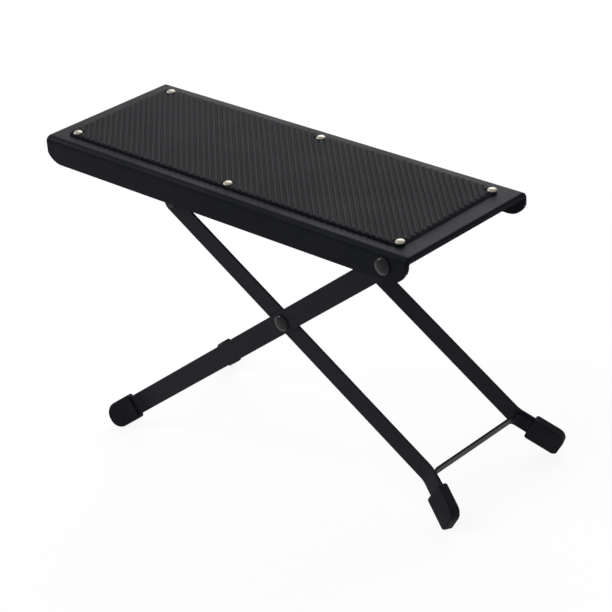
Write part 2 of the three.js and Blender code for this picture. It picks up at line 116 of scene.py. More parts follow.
# Rubber caps. The nose is the upper corner of a cap's end, the heel the lower one.
CAP_LENGTH = 22 * MM
CAP_HEIGHT = 17.2 * MM
CAP_THICKNESS = 6.4 * MM
CAP_CORNER = 1.6 * MM
CAP_ROUND = 1.1 * MM
CAP_INSET = 15.5 * MM
CAP_SHIFT = 0.45 * MM
HINGED_CAP_AT = 9.6 * MM
HINGED_CAP_DROP = 0
HINGED_CAP_NOSE = 8.4 * MM
HINGED_CAP_HEEL = 8 * MM
PROP_CAP_AT = 11.5 * MM
PROP_CAP_DROP = 0.5 * MM
PROP_CAP_NOSE = 6.2 * MM
PROP_CAP_HEEL = 2.5 * MM

# Rod and racks
ROD_RADIUS = 3 * MM
ROD_TENON = 2 * MM
ROD_HEAD = 3.6 * MM
ROD_HEAD_HEIGHT = 0.9 * MM
RACK_SHEET = 1.5 * MM
RACK_BEND = 2.5 * MM
RACK_WELD_WIDTH = 12 * MM
RACK_SPACING = 46 * MM
RACK_NOTCHES = 4
RACK_PITCH = 9.2 * MM
NOTCH_DEPTH = 4.8 * MM
NOTCH_PLAY = 0.45 * MM
NOTCH_LEAD_IN = 0.9 * MM
RACK_END_TOOTH = 2.6 * MM
RACK_END_CHAMFER = 1.2 * MM
ROD_CLEARANCE = 0.4 * MM

# Pivots
PIVOT_DEPTH = 8.5 * MM
PIVOT_INSET = 17.2 * MM
PLATE_PIN = 3 * MM
PLATE_PIN_HEAD = 5.4 * MM
PLATE_PIN_HEIGHT = 2.8 * MM
PLATE_PIN_TAIL = 4.8 * MM
PLATE_PIN_TAIL_HEIGHT = 1.5 * MM
PLATE_WASHER = 5.3 * MM
PLATE_WASHER_THICKNESS = 1 * MM
SPACER = 5 * MM
CROSS_PIN = 2.5 * MM
CROSS_PIN_HEAD = 5.3 * MM
CROSS_PIN_HEIGHT = 2.4 * MM
CROSS_PIN_TAIL = 4 * MM
CROSS_PIN_TAIL_HEIGHT = 1.4 * MM

# Floor: half of its side, its tone, and how much of it is plain white where it is seen
FLOOR_REACH = 20
FLOOR_TONE = (0.86, 0.86, 0.86, 1)
FLOOR_ROUGHNESS = 0.9
FLOOR_WHITE_SHARE = 0.88

# Light, with each lamp's place, size and watts
WHITE = (1, 1, 1, 1)
WORLD_STRENGTH = 0.75
LAMPS = (
    ("softbox behind", (-0.65, 1.20, 1.00), 1.3, 15),
    ("softbox front left", (-1.25, -0.70, 1.30), 0.8, 12),
)

# Patterns of the finishes: size and detail of each noise, and the part of it that makes a change
GRAIN_DETAIL = 3
PATCH_DETAIL = 4
PATCH_SPAN = (0.35, 0.65)
DUST_CLOUD_SCALE = 60
DUST_CLOUD_DETAIL = 5
DUST_CLOUD_SPAN = (0.45, 0.75)
DUST_SPECK_SCALE = 900
DUST_SPECK_DETAIL = 2
DUST_SPECK_SPAN = (0.68, 0.74)
DRAWN_STRETCH = 0.05

# Play between touching pieces, rounding of sheared edges, and how far a cutter runs past its work
GAP = 0.3 * MM
EDGE = 0.25 * MM
OVERRUN = 5 * MM

# How far a cutter misses a face that it would otherwise lie in. A cut along such a face leaves the solid
# open, and isn't the same each run.
MISS = 0.05 * MM

# How near two levels or points count as one, and how nearly an edge has to follow an axis
LEVEL = 0.03 * MM
WELD = 0.001 * MM
ALONG = 0.999

BEND_STEPS = 10
ROUND_STEPS = 64
DOME_STEPS = 10
SHARP_ANGLE = math.radians(38)

# Stacking across the width, from the middle plane outwards
hinged_outer = LEG_SPACING / 2
hinged_inner = hinged_outer - BAR_THICKNESS
prop_outer = hinged_inner - GAP
prop_inner = prop_outer - BAR_THICKNESS
flange_inner = PLATE_WIDTH / 2 - PLATE_SHEET

# Pivots, slope and leg angles, as the frame has them
record = frame["record"]
joints = {joint["name"]: joint for joint in record["behaviour"]["joints"]}
plate_pivot = Vector(joints["plate_lift"]["pos_m"])
cross_pivot = Vector(joints["leg_fold"]["pos_m"])
rod_low, rod_high = (Vector(corner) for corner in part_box("height_rod"))
rod_at = (rod_low + rod_high) / 2
plate_up = Vector(next(mount["axis"] for mount in record["mounts"] if mount["name"] == "mat_top"))

plate_slope = math.atan2(plate_up.x, plate_up.z)
pivot_x = PLATE_LENGTH / 2 - PIVOT_INSET
plate_place = (
    Matrix.Translation(plate_pivot)
    @ Matrix.Rotation(plate_slope, 4, "Y")
    @ Matrix.Translation((-pivot_x, 0, PIVOT_DEPTH))
)
to_hinge = plate_pivot - cross_pivot
to_rod = rod_at - cross_pivot
hinged_place = Matrix.Translation(cross_pivot) @ Matrix.Rotation(-math.atan2(to_hinge.z, to_hinge.x), 4, "Y")
prop_place = Matrix.Translation(cross_pivot) @ Matrix.Rotation(math.atan2(to_rod.z, -to_rod.x), 4, "Y")

mat_length = PLATE_LENGTH - 2 * MAT_END_MARGIN
mat_width = PLATE_WIDTH - 2 * MAT_SIDE_MARGIN
rivet_reach = mat_length / 2 - MAT_RIVET_END_INSET
rivet_side = mat_width / 2 - MAT_RIVET_SIDE_INSET
mat_rivets = [
    (MAT_SHIFT + column * rivet_reach, row * rivet_side)
    for row in (-1, 1)
    for column in (-1, 0, 1)
]


# Mesh helpers

def vertices_of(geometry):
    return [item for item in geometry if isinstance(item, bmesh.types.BMVert)]


def block(size, centre):
    """Box of a size about a centre"""
    bm = bmesh.new()
    bmesh.ops.create_cube(bm, size=1)
    bmesh.ops.scale(bm, vec=size, verts=bm.verts)
    bmesh.ops.translate(bm, vec=centre, verts=bm.verts)
    return bm


def edges_along(bm, axis, test=lambda middle: True):
    """Edges that run along an axis and whose middle passes a test"""
    chosen = []
    for edge in bm.edges:
        first, second = (vertex.co for vertex in edge.verts)
        if abs((second - first).normalized()[axis]) > ALONG and test((first + second) / 2):
            chosen.append(edge)
    return chosen


def round_edges(bm, edges, radius, segments):
    bmesh.ops.bevel(
        bm,
        geom=edges,
        offset=radius,
        offset_type="OFFSET",
        affect="EDGES",
        segments=segments,
        profile=0.5,
        material=-1,
    )
    return bm


def prism(outline, depth):
    """Solid over a closed outline in X and Y, its depth centred on z = 0"""
    bm = bmesh.new()
    face = bm.faces.new([bm.verts.new((x, y, -depth / 2)) for x, y in outline])
    grown = bmesh.ops.extrude_face_region(bm, geom=[face])
    bmesh.ops.translate(bm, vec=(0, 0, depth), verts=vertices_of(grown["geom"]))
    bmesh.ops.recalc_face_normals(bm, faces=bm.faces)
    return bm


def standing(bm):
    """The same solid with its outline turned from X and Y into X and Z"""
    bmesh.ops.rotate(bm, matrix=Matrix.Rotation(math.pi / 2, 3, "X"), verts=bm.verts)
    return bm


def rod_along(axis, at, radius, reach):
    """Cylinder along Y or Z, for drilling"""
    bm = bmesh.new()
    bmesh.ops.create_cone(
        bm, cap_ends=True, segments=ROUND_STEPS, radius1=radius, radius2=radius, depth=2 * reach
    )
    if axis == "Y":
        standing(bm)
    bmesh.ops.translate(bm, vec=at, verts=bm.verts)
    return bm


def turned(profile):
    """Piece turned about Y from a profile of radius and height"""
    bm = bmesh.new()
    line = [bm.verts.new((radius, height, 0)) for radius, height in profile]
    edges = [bm.edges.new(pair) for pair in zip(line, line[1:])]
    bmesh.ops.spin(
        bm,
        geom=line + edges,
        cent=(0, 0, 0),
        axis=(0, 1, 0),
        angle=2 * math.pi,
        steps=ROUND_STEPS,
        use_merge=True,
    )
    bmesh.ops.remove_doubles(bm, verts=bm.verts, dist=WELD)
    bmesh.ops.recalc_face_normals(bm, faces=bm.faces)
    return bm


def carried(bm, face, move):
    """The end face of a strip, extruded by a straight run. Its edges are given too, or else it would stay
    behind as a wall inside the strip."""
    grown = bmesh.ops.extrude_face_region(bm, geom=[face, *face.edges, *face.verts])["geom"]
    bmesh.ops.translate(bm, vec=move, verts=vertices_of(grown))
    return next(item for item in grown if isinstance(item, bmesh.types.BMFace))


def bent_strip(corners, bend, thickness, width):
    """Strip whose middle line joins the corners in X and Y, each inner one rounded, with its width on Z"""
    points = [Vector((x, y, 0)) for x, y in corners]
    heading = (points[1] - points[0]).normalized()
    upright = Vector((0, 0, 1))
    across = upright.cross(heading)
    bm = bmesh.new()
    ring = [
        bm.verts.new(points[0] + across * side * thickness / 2 + upright * level * width / 2)
        for side, level in ((-1, -1), (1, -1), (1, 1), (-1, 1))
    ]
    end = bm.faces.new(ring)
    reached = points[0]
    for here, after in zip(points[1:], points[2:]):
        onward = (after - here).normalized()
        turn = math.atan2(heading.cross(onward).z, heading.dot(onward))
        setback = bend * math.tan(abs(turn) / 2)
        run_end = here - heading * setback
        end = carried(bm, end, run_end - reached)
        swung = bmesh.ops.spin(
            bm,
            geom=[end, *end.edges, *end.verts],
            cent=run_end + upright.cross(heading) * math.copysign(bend, turn),
            axis=upright,
            angle=turn,
            steps=BEND_STEPS,
        )
        end = next(item for item in swung["geom_last"] if isinstance(item, bmesh.types.BMFace))
        heading = onward
        reached = here + onward * setback
    carried(bm, end, points[-1] - reached)
    bmesh.ops.recalc_face_normals(bm, faces=bm.faces)
    return bm


def worked(solid, operation, tool):
    """A solid that another one cuts (DIFFERENCE), limits (INTERSECT) or joins (UNION)"""
    pair = []
    for bm in (solid, tool):
        mesh = bpy.data.meshes.new("work")
        bm.to_mesh(mesh)
        bm.free()
        pair.append(bpy.data.objects.new("work", mesh))
        bpy.context.scene.collection.objects.link(pair[-1])
    modifier = pair[0].modifiers.new("work", "BOOLEAN")
    modifier.operation = operation
    modifier.solver = "EXACT"
    modifier.object = pair[1]
    bpy.context.view_layer.update()
    result = bmesh.new()
    result.from_object(pair[0], bpy.context.evaluated_depsgraph_get())
    for item in pair:
        mesh = item.data
        bpy.data.objects.remove(item)
        bpy.data.meshes.remove(mesh)
    return result


def finish_piece(name, bm, place, body, node, slot, edge=EDGE, finish=None):
    """Puts a modelled piece in its place, rounds its sharp edges and lets it stand for its CAD node"""
    bmesh.ops.transform(bm, matrix=place, verts=bm.verts)
    bmesh.ops.recalc_face_normals(bm, faces=bm.faces)
    mesh = bpy.data.meshes.new(name)
    bm.to_mesh(mesh)
    bm.free()
    mesh.shade_smooth()
    mesh.set_sharp_from_angle(angle=SHARP_ANGLE)
    piece = bpy.data.objects.new(name, mesh)
    bpy.context.scene.collection.objects.link(piece)
    if edge:
        rounding = piece.modifiers.new("rounded edges", "BEVEL")
        rounding.width = edge
        rounding.segments = 2
        rounding.limit_method = "ANGLE"
        rounding.angle_limit = SHARP_ANGLE
        rounding.harden_normals = True
    weighting = piece.modifiers.new("flat faces stay flat", "WEIGHTED_NORMAL")
    weighting.keep_sharp = True
    mesh.materials.append(materials[finish or slot])
    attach(piece, body)
    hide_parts(node)
    return piece


# Effects that several finishes share

def new_group(name, inputs, outputs):
    group = bpy.data.node_groups.new(name, "ShaderNodeTree")
    for label, kind, value in inputs:
        socket = group.interface.new_socket(label, in_out="INPUT", socket_type=kind)
        if value is not None:
            socket.default_value = value
    for label, kind in outputs:
        group.interface.new_socket(label, in_out="OUTPUT", socket_type=kind)
    return group, group.nodes.new("NodeGroupInput"), group.nodes.new("NodeGroupOutput")


def noise(tree, vector, scale, detail):
    node = tree.nodes.new("ShaderNodeTexNoise")
    node.inputs["Detail"].default_value = detail
    tree.links.new(vector, node.inputs["Vector"])
    if hasattr(scale, "links"):
        tree.links.new(scale, node.inputs["Scale"])
    else:
        node.inputs["Scale"].default_value = scale
    return node.outputs["Fac"]


def spread(tree, value, low_in, high_in, low_out, high_out):
    """Map Range node; each bound is a number or an output"""
    node = tree.nodes.new("ShaderNodeMapRange")
    tree.links.new(value, node.inputs["Value"])
    bounds = {"From Min": low_in, "From Max": high_in, "To Min": low_out, "To Max": high_out}
    for label, bound in bounds.items():
        if hasattr(bound, "links"):
            tree.links.new(bound, node.inputs[label])
        else:
            node.inputs[label].default_value = bound
    return node.outputs["Result"]


def mixed(tree, amount, first, second):
    """Colour between two colours; each is a tuple or an output"""
    node = tree.nodes.new("ShaderNodeMix")
    node.data_type = "RGBA"
    tree.links.new(amount, node.inputs[0])
    for colour, socket in ((first, node.inputs[6]), (second, node.inputs[7])):
        if hasattr(colour, "links"):
            tree.links.new(colour, socket)
        else:
            socket.default_value = (*colour, 1)
    return node.outputs[2]


def make_surface_grain():
    """Fine unevenness of a surface, and the roughness that wanders with handling"""
    group, given, out = new_group(
        "surface grain",
        [
            ("Vector", "NodeSocketVector", None),
            ("Grain Scale", "NodeSocketFloat", 2000.0),
            ("Patch Scale", "NodeSocketFloat", 25.0),
            ("Least Roughness", "NodeSocketFloat", 0.4),
            ("Most Roughness", "NodeSocketFloat", 0.6),
        ],
        [("Height", "NodeSocketFloat"), ("Roughness", "NodeSocketFloat"), ("Patch", "NodeSocketFloat")],
    )
    fine = noise(group, given.outputs["Vector"], given.outputs["Grain Scale"], GRAIN_DETAIL)
    patch = noise(group, given.outputs["Vector"], given.outputs["Patch Scale"], PATCH_DETAIL)
    rough = spread(
        group, patch, *PATCH_SPAN, given.outputs["Least Roughness"], given.outputs["Most Roughness"]
    )
    group.links.new(fine, out.inputs["Height"])
    group.links.new(rough, out.inputs["Roughness"])
    group.links.new(patch, out.inputs["Patch"])
    return group


def make_dust():
    """Pale dust that gathers in specks and soft patches"""
    group, given, out = new_group(
        "dust",
        [
            ("Vector", "NodeSocketVector", None),
            ("Color", "NodeSocketColor", (0.02, 0.02, 0.02, 1)),
            ("Dust Color", "NodeSocketColor", (0.12, 0.115, 0.105, 1)),
            ("Amount", "NodeSocketFloat", 0.1),
        ],
        [("Color", "NodeSocketColor")],
    )
    cloud = noise(group, given.outputs["Vector"], DUST_CLOUD_SCALE, DUST_CLOUD_DETAIL)
    speck = noise(group, given.outputs["Vector"], DUST_SPECK_SCALE, DUST_SPECK_DETAIL)
    soft = spread(group, cloud, *DUST_CLOUD_SPAN, 0.0, given.outputs["Amount"])
    hard = spread(group, speck, *DUST_SPECK_SPAN, 0.0, given.outputs["Amount"])
    both = group.nodes.new("ShaderNodeMath")
    both.operation = "MAXIMUM"
    group.links.new(soft, both.inputs[0])
    group.links.new(hard, both.inputs[1])
    tinted = mixed(group, both.outputs[0], given.outputs["Color"], given.outputs["Dust Color"])
    group.links.new(tinted, out.inputs["Color"])
    return group


surface_grain = make_surface_grain()
dust = make_dust()


def placed_group(tree, group, **values):
    node = tree.nodes.new("ShaderNodeGroup")
    node.node_tree = group
    for label, value in values.items():
        socket = node.inputs[label.replace("_", " ")]
        if hasattr(value, "links"):
            tree.links.new(value, socket)
        else:
            socket.default_value = value
    return node


def start_finish(name):
    """New material with its shader and the object coordinates that its patterns lie on"""
    material = bpy.data.materials.new(name)
    material.use_nodes = True
    tree = material.node_tree
    tree.nodes.clear()
    output = tree.nodes.new("ShaderNodeOutputMaterial")
    shader = tree.nodes.new("ShaderNodeBsdfPrincipled")
    tree.links.new(shader.outputs["BSDF"], output.inputs["Surface"])
    where = tree.nodes.new("ShaderNodeTexCoord").outputs["Object"]
    return material, tree, shader, where


def set_bump(tree, shader, height, distance, strength):
    bump = tree.nodes.new("ShaderNodeBump")
    bump.inputs["Strength"].default_value = strength
    bump.inputs["Distance"].default_value = distance
    tree.links.new(height, bump.inputs["Height"])
    tree.links.new(bump.outputs["Normal"], shader.inputs["Normal"])


# Finishes

def make_powder_coat(name, darker, lighter):
    """Black satin powder coat with its fine orange peel"""
    material, tree, shader, where = start_finish(name)
    grain = placed_group(
        tree, surface_grain, Vector=where, Grain_Scale=1400, Patch_Scale=18,
        Least_Roughness=0.42, Most_Roughness=0.52,
    )
    body = mixed(tree, grain.outputs["Patch"], darker, lighter)
    coat = placed_group(
        tree, dust, Vector=where, Color=body, Dust_Color=(0.04, 0.04, 0.04, 1), Amount=0.05,
    )
    tree.links.new(coat.outputs["Color"], shader.inputs["Base Color"])
    tree.links.new(grain.outputs["Roughness"], shader.inputs["Roughness"])
    shader.inputs["Specular IOR Level"].default_value = 0.05
    set_bump(tree, shader, grain.outputs["Height"], 0.05 * MM, 0.25)
    return material


def make_mat_rubber():
    """Ribbed black rubber with painted shade: its colour runs from grey on the rib crests to black in the
    grooves, on the cut sides and in the rivet dimples
    """
    material, tree, shader, where = start_finish("ribbed mat rubber")
    grain = placed_group(
        tree, surface_grain, Vector=where, Grain_Scale=2600, Patch_Scale=30,
        Least_Roughness=0.7, Most_Roughness=0.74,
    )
    level = tree.nodes.new("ShaderNodeMapping")
    level.inputs["Rotation"].default_value = (0, -plate_slope, 0)
    level.inputs["Location"].default_value = -(
        Matrix.Rotation(-plate_slope, 3, "Y") @ plate_place.translation
    )
    tree.links.new(where, level.inputs["Vector"])
    split = tree.nodes.new("ShaderNodeSeparateXYZ")
    tree.links.new(level.outputs["Vector"], split.inputs["Vector"])
    # Painted shade: the colour darkens with depth below the rib crests, so grooves, cut sides and the pressed
    # dimples round the rivets look shaded and the crests look lit
    crest = GAP + MAT_THICKNESS
    painted_shade_by_height = spread(tree, split.outputs["Z"], crest - RIB_HEIGHT, crest, 0.0, 1.0)
    ribbed = mixed(tree, painted_shade_by_height, (0.0060, 0.0064, 0.0083), (0.0104, 0.0110, 0.0133))
    worn = placed_group(
        tree, dust, Vector=where, Color=ribbed, Dust_Color=(0.06, 0.06, 0.06, 1), Amount=0.02,
    )
    tree.links.new(worn.outputs["Color"], shader.inputs["Base Color"])
    tree.links.new(grain.outputs["Roughness"], shader.inputs["Roughness"])
    shader.inputs["Specular IOR Level"].default_value = 0.1
    set_bump(tree, shader, grain.outputs["Height"], 0.06 * MM, 0.4)
    return material


def make_foot_rubber():
    """Moulded black rubber of the caps"""
    material, tree, shader, where = start_finish("moulded cap rubber")
    grain = placed_group(
        tree, surface_grain, Vector=where, Grain_Scale=1900, Patch_Scale=45,
        Least_Roughness=0.5, Most_Roughness=0.66,
    )
    body = mixed(tree, grain.outputs["Patch"], (0.0046, 0.0050, 0.0076), (0.0062, 0.0066, 0.0096))
    worn = placed_group(
        tree, dust, Vector=where, Color=body, Dust_Color=(0.05, 0.049, 0.047, 1), Amount=0.06,
    )
    tree.links.new(worn.outputs["Color"], shader.inputs["Base Color"])
    tree.links.new(grain.outputs["Roughness"], shader.inputs["Roughness"])
    shader.inputs["Specular IOR Level"].default_value = 0.07
    set_bump(tree, shader, grain.outputs["Height"], 0.08 * MM, 0.4)
    return material


def make_rivet_nickel():
    """Warm, slightly dull nickel plating"""
    material, tree, shader, where = start_finish("dull nickel")
    grain = placed_group(
        tree, surface_grain, Vector=where, Grain_Scale=1600, Patch_Scale=160,
        Least_Roughness=0.28, Most_Roughness=0.42,
    )
    tint = mixed(tree, grain.outputs["Patch"], (0.28, 0.265, 0.222), (0.35, 0.33, 0.28))
    tree.links.new(tint, shader.inputs["Base Color"])
    tree.links.new(grain.outputs["Roughness"], shader.inputs["Roughness"])
    shader.inputs["Metallic"].default_value = 1
    set_bump(tree, shader, grain.outputs["Height"], 0.04 * MM, 0.3)
    return material


def make_black_rivet():
    """Blackened rivet head, glossier than the powder coat"""
    material, tree, shader, where = start_finish("blackened rivet")
    grain = placed_group(
        tree, surface_grain, Vector=where, Grain_Scale=1200, Patch_Scale=120,
        Least_Roughness=0.16, Most_Roughness=0.22,
    )
    body = mixed(tree, grain.outputs["Patch"], (0.0045, 0.0048, 0.0060), (0.0065, 0.0068, 0.0080))
    tree.links.new(body, shader.inputs["Base Color"])
    tree.links.new(grain.outputs["Roughness"], shader.inputs["Roughness"])
    shader.inputs["Specular IOR Level"].default_value = 0.2
    set_bump(tree, shader, grain.outputs["Height"], 0.02 * MM, 0.15)
    return material


def make_dark_steel():
    """Dark zinc-plated steel with fine drawing lines"""
    material, tree, shader, where = start_finish("dark plated steel")
    drawn = tree.nodes.new("ShaderNodeMapping")
    drawn.inputs["Scale"].default_value = (1, DRAWN_STRETCH, 1)
    tree.links.new(where, drawn.inputs["Vector"])
    grain = placed_group(
        tree, surface_grain, Vector=drawn.outputs["Vector"], Grain_Scale=3000, Patch_Scale=90,
        Least_Roughness=0.3, Most_Roughness=0.45,
    )
    tint = mixed(tree, grain.outputs["Patch"], (0.020, 0.020, 0.021), (0.035, 0.035, 0.036))
    tree.links.new(tint, shader.inputs["Base Color"])
    tree.links.new(grain.outputs["Roughness"], shader.inputs["Roughness"])
    shader.inputs["Metallic"].default_value = 1
    set_bump(tree, shader, grain.outputs["Height"], 0.03 * MM, 0.25)
    return material


materials = {
    "powder_coat": make_powder_coat("black powder coat", (0.0022, 0.0028, 0.0060), (0.0034, 0.0040, 0.0074)),
    # Painted light: the legs take a lighter copy of the same black powder coat, standing in for the extra
    # light that falls on them
    "leg_coat_painted_lighter": make_powder_coat("black powder coat painted lighter for the legs", (0.0085, 0.0092, 0.0128), (0.0100, 0.0107, 0.0145)),
    "mat_rubber": make_mat_rubber(),
    "foot_rubber": make_foot_rubber(),
    "rivet_nickel": make_rivet_nickel(),
    "black_rivet": make_black_rivet(),
    "dark_steel": make_dark_steel(),
}


# Plate, mat and what hangs under the plate

def plate_form(inset, depth):
    """Outer form of the plate less an even inset, its top face at the inset's depth. The long sides are
    rolled, the ends are bent more sharply."""
    length = PLATE_LENGTH - HIGH_END_TRIM - 2 * inset
    middle = -inset - depth / 2
    bm = block((length, PLATE_WIDTH - 2 * inset, depth), (HIGH_END_TRIM / 2, 0, middle))
    round_edges(bm, edges_along(bm, 0, lambda at: at.z > middle), SIDE_BEND - inset, BEND_STEPS)
    bottom = middle - depth / 2
    ends = [
        edge
        for edge in bm.edges
        if abs(edge.verts[0].co.x - edge.verts[1].co.x) < LEVEL
        and max(vertex.co.z for vertex in edge.verts) > bottom + LEVEL
    ]
    return round_edges(bm, ends, END_BEND - inset, BEND_STEPS)


def make_plate():
    depth = FLANGE_HEIGHT + OVERRUN
    shell = worked(plate_form(0, depth), "DIFFERENCE", plate_form(PLATE_SHEET, depth))
    # Lower edges and corners of both flanges
    side = block(
        (PLATE_LENGTH + GAP, 2 * PLATE_WIDTH, FLANGE_HEIGHT + OVERRUN),
        (0, 0, (OVERRUN - FLANGE_HEIGHT) / 2),
    )
    round_edges(side, edges_along(side, 1, lambda middle: middle.z < 0), FLANGE_CORNER, 2 * BEND_STEPS)
    shell = worked(shell, "INTERSECT", side)
    # Open ends under the short lips
    mouth_height = FLANGE_HEIGHT + OVERRUN - LIP_HEIGHT
    mouth = block(
        (2 * PLATE_LENGTH, 2 * (flange_inner - LIP_TAB), mouth_height),
        (0, 0, -LIP_HEIGHT - mouth_height / 2),
    )
    top = edges_along(mouth, 0, lambda middle: middle.z > -FLANGE_HEIGHT / 2)
    round_edges(mouth, top, LIP_FILLET, BEND_STEPS)
    shell = worked(shell, "DIFFERENCE", mouth)
    pin_hole = rod_along("Y", (pivot_x, 0, -PIVOT_DEPTH), PLATE_PIN + GAP, PLATE_WIDTH)
    shell = worked(shell, "DIFFERENCE", pin_hole)
    for x, y in mat_rivets:
        shell = worked(shell, "DIFFERENCE", rod_along("Z", (x, y, 0), MAT_RIVET_SHANK + GAP, OVERRUN))
    finish_piece("pressed_plate", shell, plate_place, "plate", "foot_plate", "powder_coat")


def make_mat():
    top = GAP + MAT_THICKNESS
    groove = top - RIB_HEIGHT
    reach = math.hypot(mat_length, mat_width) / 2
    ribs = math.ceil(reach / RIB_PITCH)
    foot = RIB_FOOT_SHARE * RIB_PITCH / 2
    crest = RIB_CREST_SHARE * RIB_PITCH / 2
    comb = [(-ribs * RIB_PITCH, GAP), (ribs * RIB_PITCH, GAP)]
    for rib in reversed(range(-ribs, ribs)):
        middle = (rib + 0.5) * RIB_PITCH
        comb += [
            (middle + foot, groove),
            (middle + crest, top),
            (middle - crest, top),
            (middle - foot, groove),
        ]
    comb.append((-ribs * RIB_PITCH, groove))
    ribbed = prism(comb, 2 * reach)
    # The outline's first axis goes across the ribs, its second up
    bmesh.ops.transform(
        ribbed,
        matrix=Matrix.Translation((MAT_SHIFT, 0, 0))
        @ Matrix.Rotation(RIB_TURN + math.pi / 2, 4, "Z")
        @ Matrix.Rotation(math.pi / 2, 4, "X"),
        verts=ribbed.verts,
    )
    low_end = MAT_SHIFT + mat_length / 2 - MAT_LOW_END_TRIM
    high_end = MAT_SHIFT - mat_length / 2
    side = mat_width / 2 - MAT_SIDE_TRIM
    slab = block(
        (low_end - high_end + 2 * MISS, 2 * (side + MISS), 4 * MAT_THICKNESS),
        ((low_end + high_end) / 2, 0, 0),
    )
    round_edges(slab, edges_along(slab, 2), MAT_CORNER, BEND_STEPS)
    mat = worked(ribbed, "INTERSECT", slab)
    # Cut edges, which lean in towards the top
    for quarters, side_at, slope in (
        (0, low_end, MAT_LOW_END_SLOPE),
        (1, side, MAT_SIDE_SLOPE),
        (2, -high_end, MAT_SIDE_SLOPE),
        (3, side, MAT_SIDE_SLOPE),
    ):
        cutter = block((OVERRUN, PLATE_LENGTH, 2 * OVERRUN), (OVERRUN / 2, 0, 0))
        leaning = (
            Matrix.Rotation(quarters * math.pi / 2, 4, "Z")
            @ Matrix.Translation((side_at, 0, GAP))
            @ Matrix.Rotation(-math.atan2(slope, MAT_THICKNESS), 4, "Y")
        )
        bmesh.ops.transform(cutter, matrix=leaning, verts=cutter.verts)
        mat = worked(mat, "DIFFERENCE", cutter)
    # Ribs pressed flat around each rivet, and the rivet's hole
    for x, y in mat_rivets:
        dimple = rod_along("Z", (x, y, groove + OVERRUN - MISS), MAT_DIMPLE, OVERRUN)
        mat = worked(mat, "DIFFERENCE", dimple)
        mat = worked(mat, "DIFFERENCE", rod_along("Z", (x, y, 0), MAT_RIVET_SHANK + GAP, OVERRUN))
    finish_piece("ribbed_mat", mat, plate_place, "plate", "rubber_mat", "mat_rubber", edge=RIB_ROUND)


def rivet_profile(shank, head, height, head_base, tail, tail_height, tail_base):
    """Flat tail, shank and domed head, from the axis round to the axis"""
    chamfer = tail_height / 4
    profile = [
        (0, tail_base - tail_height),
        (tail - chamfer, tail_base - tail_height),
        (tail, tail_base - tail_height + chamfer),
        (tail, tail_base),
        (shank, tail_base),
        (shank, head_base),
        (head, head_base),
    ]
    for step in range(1, DOME_STEPS):
        lift = step / DOME_STEPS * math.pi / 2
        profile.append((head * math.cos(lift), head_base + height * math.sin(lift)))
    profile.append((0, head_base + height))
    return profile


def make_mat_rivets():
    upright = Matrix.Rotation(math.pi / 2, 4, "X")
    for index, (x, y) in enumerate(mat_rivets, start=1):
        rivet = turned(rivet_profile(
            MAT_RIVET_SHANK, MAT_RIVET_HEAD, MAT_RIVET_HEIGHT, MAT_THICKNESS - RIB_HEIGHT + 2 * GAP,
            MAT_RIVET_TAIL, MAT_RIVET_TAIL_HEIGHT, -PLATE_SHEET - GAP,
        ))
        place = plate_place @ Matrix.Translation((x, y, 0)) @ upright
        name = f"mat_rivet_turned_{index}"
        finish_piece(name, rivet, place, "plate", f"mat_rivet_{index}", "rivet_nickel", edge=0)


def make_rack(label, side):
    """Notched rack, an L of sheet steel under the plate"""
    rod_x, _, rod_z = plate_place.inverted() @ rod_at
    top = -PLATE_SHEET - GAP
    tip = rod_z + ROD_RADIUS + ROD_CLEARANCE
    roof = tip + NOTCH_DEPTH
    half = ROD_RADIUS + NOTCH_PLAY
    seat_shift = NOTCH_DEPTH * (-rod_z - PIVOT_DEPTH) / (pivot_x - rod_x)
    first = rod_x - seat_shift / 2
    right = first + half + NOTCH_LEAD_IN + RACK_END_TOOTH
    left = first - (RACK_NOTCHES - 1) * RACK_PITCH - half - RACK_END_TOOTH
    wall = RACK_SPACING / 2 - RACK_SHEET / 2
    section = [
        (RACK_SPACING / 2 - RACK_WELD_WIDTH, top - RACK_SHEET / 2),
        (wall, top - RACK_SHEET / 2),
        (wall, tip - OVERRUN),
    ]
    width = right - left + 2 * OVERRUN
    rack = bent_strip(section, RACK_BEND - RACK_SHEET / 2, RACK_SHEET, width)
    # The section's axes become Y and Z, and its width X
    upended = Matrix(((0, 0, 1), (1, 0, 0), (0, 1, 0))).to_4x4()
    upended.translation.x = (right + left) / 2
    bmesh.ops.transform(rack, matrix=upended, verts=rack.verts)
    corners = [
        (left, top + OVERRUN),
        (left, tip + RACK_END_CHAMFER),
        (left + RACK_END_CHAMFER, tip),
        (right - RACK_END_CHAMFER, tip),
        (right, tip + RACK_END_CHAMFER),
        (right, top + OVERRUN),
    ]
    rack = worked(rack, "INTERSECT", standing(prism(corners, 2 * RACK_SPACING)))
    # The lead-in's slope runs on below the tips
    mouth = NOTCH_LEAD_IN * (1 + OVERRUN / (NOTCH_DEPTH - half / 2))
    for notch in range(RACK_NOTCHES):
        middle = first - notch * RACK_PITCH
        outline = [
            (middle - half, tip - OVERRUN),
            (middle + half + mouth, tip - OVERRUN),
            (middle + half, roof - half / 2),
            (middle + half / 2, roof),
            (middle - half / 2, roof),
            (middle - half, roof - half / 2),
        ]
        rack = worked(rack, "DIFFERENCE", standing(prism(outline, 2 * RACK_SPACING)))
    place = plate_place @ Matrix.Diagonal((1, side, 1, 1))
    finish_piece(f"rack_pressed_{label}", rack, place, "plate", f"rack_{label}", "powder_coat")


# Legs. Each is modelled on the far side, with X running from the crossing down to its foot, and is
# then mirrored to its own side.

